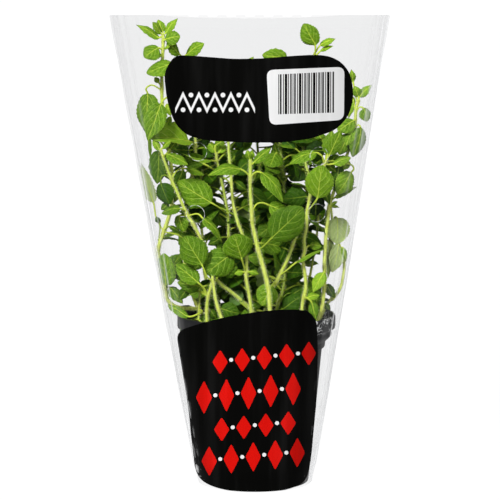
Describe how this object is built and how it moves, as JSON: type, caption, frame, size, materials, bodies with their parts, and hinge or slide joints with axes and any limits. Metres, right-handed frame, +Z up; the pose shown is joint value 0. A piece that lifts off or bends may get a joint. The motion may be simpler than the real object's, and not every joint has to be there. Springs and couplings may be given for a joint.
{
  "type": "potted oregano plant",
  "caption": "Potted oregano: upright leafy shoots in a round stepped nursery pot of dark mix, inside a clear tapered film sleeve with vents and an open mouth.",
  "frame": {"origin": "centre of the pot's flat base, on the surface that it stands on", "axes": "+Z up along the pot's axis, -Y towards the front of the sleeve, +X to the viewer's right"},
  "size_m": [0.1771, 0.1594, 0.2976],
  "materials": {
    "pot": "satin black",
    "potting_mix": "rough, loose crumbs of bark and peat",
    "film": "clear glossy film",
    "stem": "green stem with fine pale hairs",
    "leaf": "soft matt leaf, paler underneath"
  },
  "bodies": {
    "root": {"pot": "pot", "potting_mix": "potting_mix", "film_sleeve": "film", "rim_arch_stem": "stem", "front_left_stem": "stem", "back_left_stem": "stem", "mid_left_stem": "stem", "middle_stem": "stem", "front_stem": "stem", "right_long_stem": "stem", "right_front_stem": "stem", "right_edge_stem": "stem", "right_arch_stem": "stem", "short_left_stem": "stem", "cut_left_stem": "stem", "mid_back_stem": "stem", "right_inner_stem": "stem", "left_inner_stem": "stem", "left_low_stem": "stem", "back_middle_stem": "stem", "rear_left_stem": "stem", "rear_stem": "stem", "rear_right_stem": "stem", "rear_far_left_stem": "stem", "rim_arch_leaf_top": "leaf", "rim_arch_leaf_hook": "leaf", "rim_arch_leaf_side": "leaf", "rim_arch_leaf_low": "leaf", "front_left_leaf_top": "leaf", "front_left_leaf_hook": "leaf", "front_left_leaf_right": "leaf", "front_left_leaf_left": "leaf", "back_left_leaf_broad": "leaf", "back_left_leaf_upper": "leaf", "back_left_leaf_lower": "leaf", "mid_left_leaf_wavy": "leaf", "mid_left_leaf_broad": "leaf", "mid_left_leaf_hanging": "leaf", "middle_leaf_broad": "leaf", "front_leaf_top": "leaf", "front_leaf_left": "leaf", "front_leaf_right": "leaf", "front_leaf_arched": "leaf", "front_leaf_broad": "leaf", "right_long_leaf_edge_on": "leaf", "right_long_leaf_shaded": "leaf", "right_long_leaf_inner": "leaf", "right_long_leaf_round": "leaf", "right_long_leaf_top": "leaf", "right_front_leaf_tip": "leaf", "right_front_leaf_arched": "leaf", "right_front_leaf_broad": "leaf", "right_front_leaf_looped": "leaf", "right_edge_leaf_drooping": "leaf", "right_edge_leaf_pressed": "leaf", "right_edge_leaf_hanging": "leaf", "right_arch_leaf_pressed": "leaf", "short_left_leaf_broad": "leaf", "cut_left_leaf_broad": "leaf", "left_low_leaf_outward": "leaf"}
  },
  "joints": []
}
